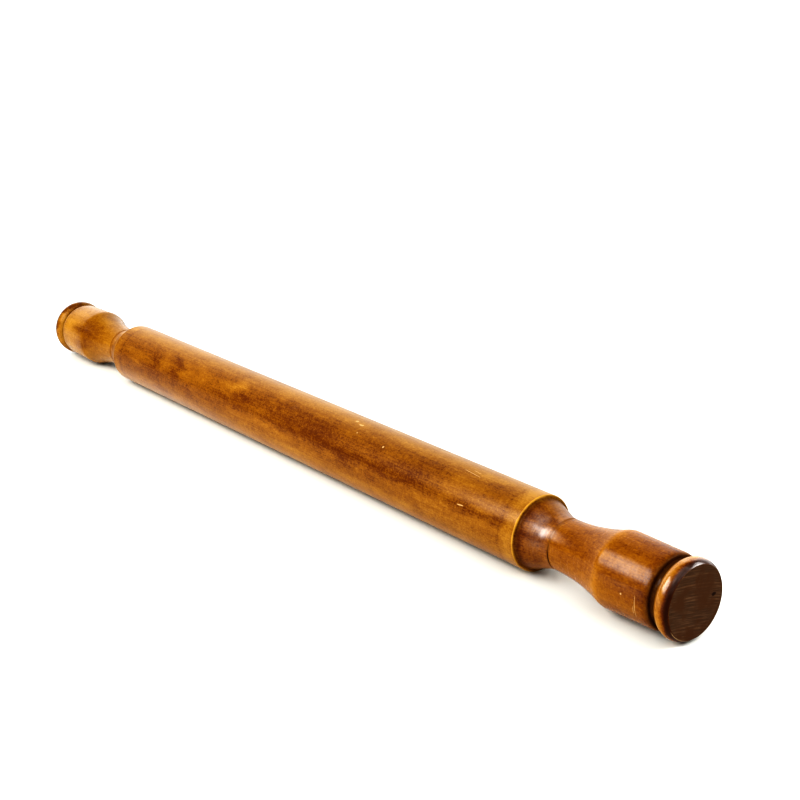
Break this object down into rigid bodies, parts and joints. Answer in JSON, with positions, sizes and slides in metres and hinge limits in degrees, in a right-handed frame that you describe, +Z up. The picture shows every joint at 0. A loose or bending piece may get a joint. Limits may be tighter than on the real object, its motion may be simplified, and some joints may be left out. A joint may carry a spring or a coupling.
{
  "type": "rolling pin",
  "caption": "Long slender wooden rolling pin: a straight barrel with coved shoulders turns on a hidden steel axle between turned handles with grooved, beaded ends.",
  "frame": {"origin": "on the axle's centre line, halfway along the pin", "axes": "+X along the pin's axis towards the right handle, +Z up; the pin lies level, and a flat of the barrel faces straight down"},
  "size_m": [0.613, 0.04, 0.04],
  "materials": {
    "barrel_wood": "amber-brown stain under a worn satin varnish",
    "handle_wood": "red-brown stain under glossy varnish, bare dark end grain on the end discs",
    "axle_steel": "turned steel",
    "bush_nylon": "moulded, matt",
    "washer_fibre": "dark pressed fibre, matt",
    "insert_brass": "turned brass"
  },
  "bodies": {
    "handles": {"axle": "axle_steel", "handle_right": "handle_wood", "handle_left": "handle_wood", "handle_insert_right": "insert_brass", "handle_insert_left": "insert_brass", "thrust_washer_right": "washer_fibre", "thrust_washer_left": "washer_fibre"},
    "barrel": {"barrel": "barrel_wood", "bush_right": "bush_nylon", "bush_left": "bush_nylon"}
  },
  "joints": [
    {"name": "barrel_spin", "type": "hinge", "parent": "handles", "child": "barrel", "pos_m": [0, 0, 0], "axis": [1, 0, 0], "continuous": true}
  ]
}
